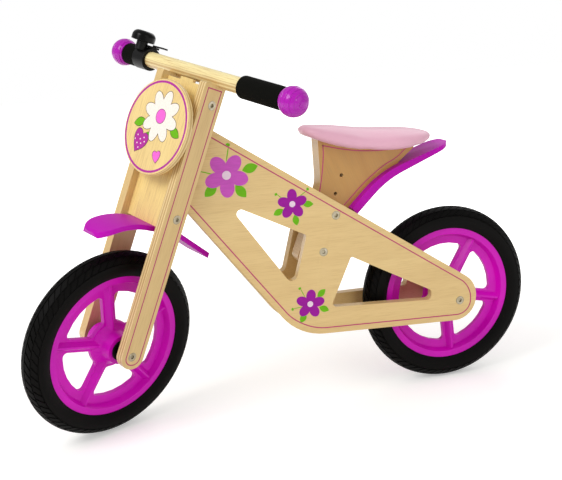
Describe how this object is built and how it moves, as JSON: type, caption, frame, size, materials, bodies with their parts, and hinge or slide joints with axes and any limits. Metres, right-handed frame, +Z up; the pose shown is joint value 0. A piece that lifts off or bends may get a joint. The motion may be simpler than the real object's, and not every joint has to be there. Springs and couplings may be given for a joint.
{
  "type": "wooden balance bike",
  "caption": "Wooden balance bike with a steered plywood fork, spoked wheels, padded saddle on a drilled post, mudguards, round front plaque and a bell.",
  "frame": {"origin": "on the ground, under the middle of the bike's box, with the fork turned as it stands", "axes": "+X forward, +Y to the rider's left, +Z up"},
  "size_m": [0.8659, 0.4016, 0.6181],
  "materials": {
    "birch_ply": "clear satin varnish on birch plywood",
    "printed_ply": "varnished plywood with a printed face",
    "painted_wood": "gloss magenta lacquer on wood",
    "magenta_plastic": "moulded, semi-gloss",
    "eva_tyre": "solid foam, matte",
    "foam_grip": "matte foam sleeve",
    "pink_cover": "soft satin leatherette",
    "black_enamel": "gloss enamel",
    "black_plastic": "moulded, satin",
    "white_nylon": "natural nylon",
    "bush_brass": "turned",
    "zinc_steel": "zinc plated"
  },
  "bodies": {
    "frame": {"left_panel": "birch_ply", "right_panel": "birch_ply", "head_block": "birch_ply", "head_bushes": "bush_brass", "head_screws": "zinc_steel", "seat_post": "birch_ply", "post_spacers": "birch_ply", "post_bolts": "zinc_steel", "seat_board": "birch_ply", "seat_screws": "zinc_steel", "seat_pad": "pink_cover", "rear_mudguard": "painted_wood", "rear_mudguard_screws": "zinc_steel", "rear_axle": "zinc_steel", "rear_axle_nut": "zinc_steel", "rear_spacers": "black_plastic"},
    "fork": {"left_leg": "birch_ply", "right_leg": "birch_ply", "front_board": "birch_ply", "upper_block": "birch_ply", "lower_block": "birch_ply", "thrust_washers": "white_nylon", "steering_bolt": "zinc_steel", "steering_nut": "zinc_steel", "leg_bolts": "zinc_steel", "board_screws": "zinc_steel", "plaque_block": "birch_ply", "plaque": "printed_ply", "front_mudguard": "painted_wood", "front_axle": "zinc_steel", "front_axle_nut": "zinc_steel", "front_spacers": "black_plastic", "handlebar": "birch_ply", "bar_screws": "zinc_steel", "left_grip": "foam_grip", "right_grip": "foam_grip", "left_ball": "painted_wood", "right_ball": "painted_wood", "bell_collar": "black_plastic", "bell_base": "black_plastic", "bell_dome": "black_enamel", "bell_screw": "zinc_steel"},
    "front_wheel": {"front_rim": "magenta_plastic", "front_tyre": "eva_tyre", "front_bushes": "black_plastic"},
    "rear_wheel": {"rear_rim": "magenta_plastic", "rear_tyre": "eva_tyre", "rear_bushes": "black_plastic"},
    "bell_lever": {"bell_lever": "black_plastic"}
  },
  "joints": [
    {"name": "steering", "type": "hinge", "parent": "frame", "child": "fork", "pos_m": [0.17298, 0, 0.42399], "axis": [-0.3665, 0, 0.9304], "range_deg": [-61.5, 8.5]},
    {"name": "front_wheel_spin", "type": "hinge", "parent": "fork", "child": "front_wheel", "pos_m": [0.29458, 0.00625, 0.14946], "axis": [-0.4152, 0.8949, -0.1635], "continuous": true},
    {"name": "rear_wheel_spin", "type": "hinge", "parent": "frame", "child": "rear_wheel", "pos_m": [-0.28305, 0, 0.15], "axis": [0, 1, 0], "continuous": true},
    {"name": "bell_lever_swing", "type": "hinge", "parent": "fork", "child": "bell_lever", "pos_m": [0.1653, -0.11857, 0.58649], "axis": [-0.3665, 0, 0.9304], "range_deg": [0, 25], "stiffness_Nm_per_rad": 0.02}
  ]
}
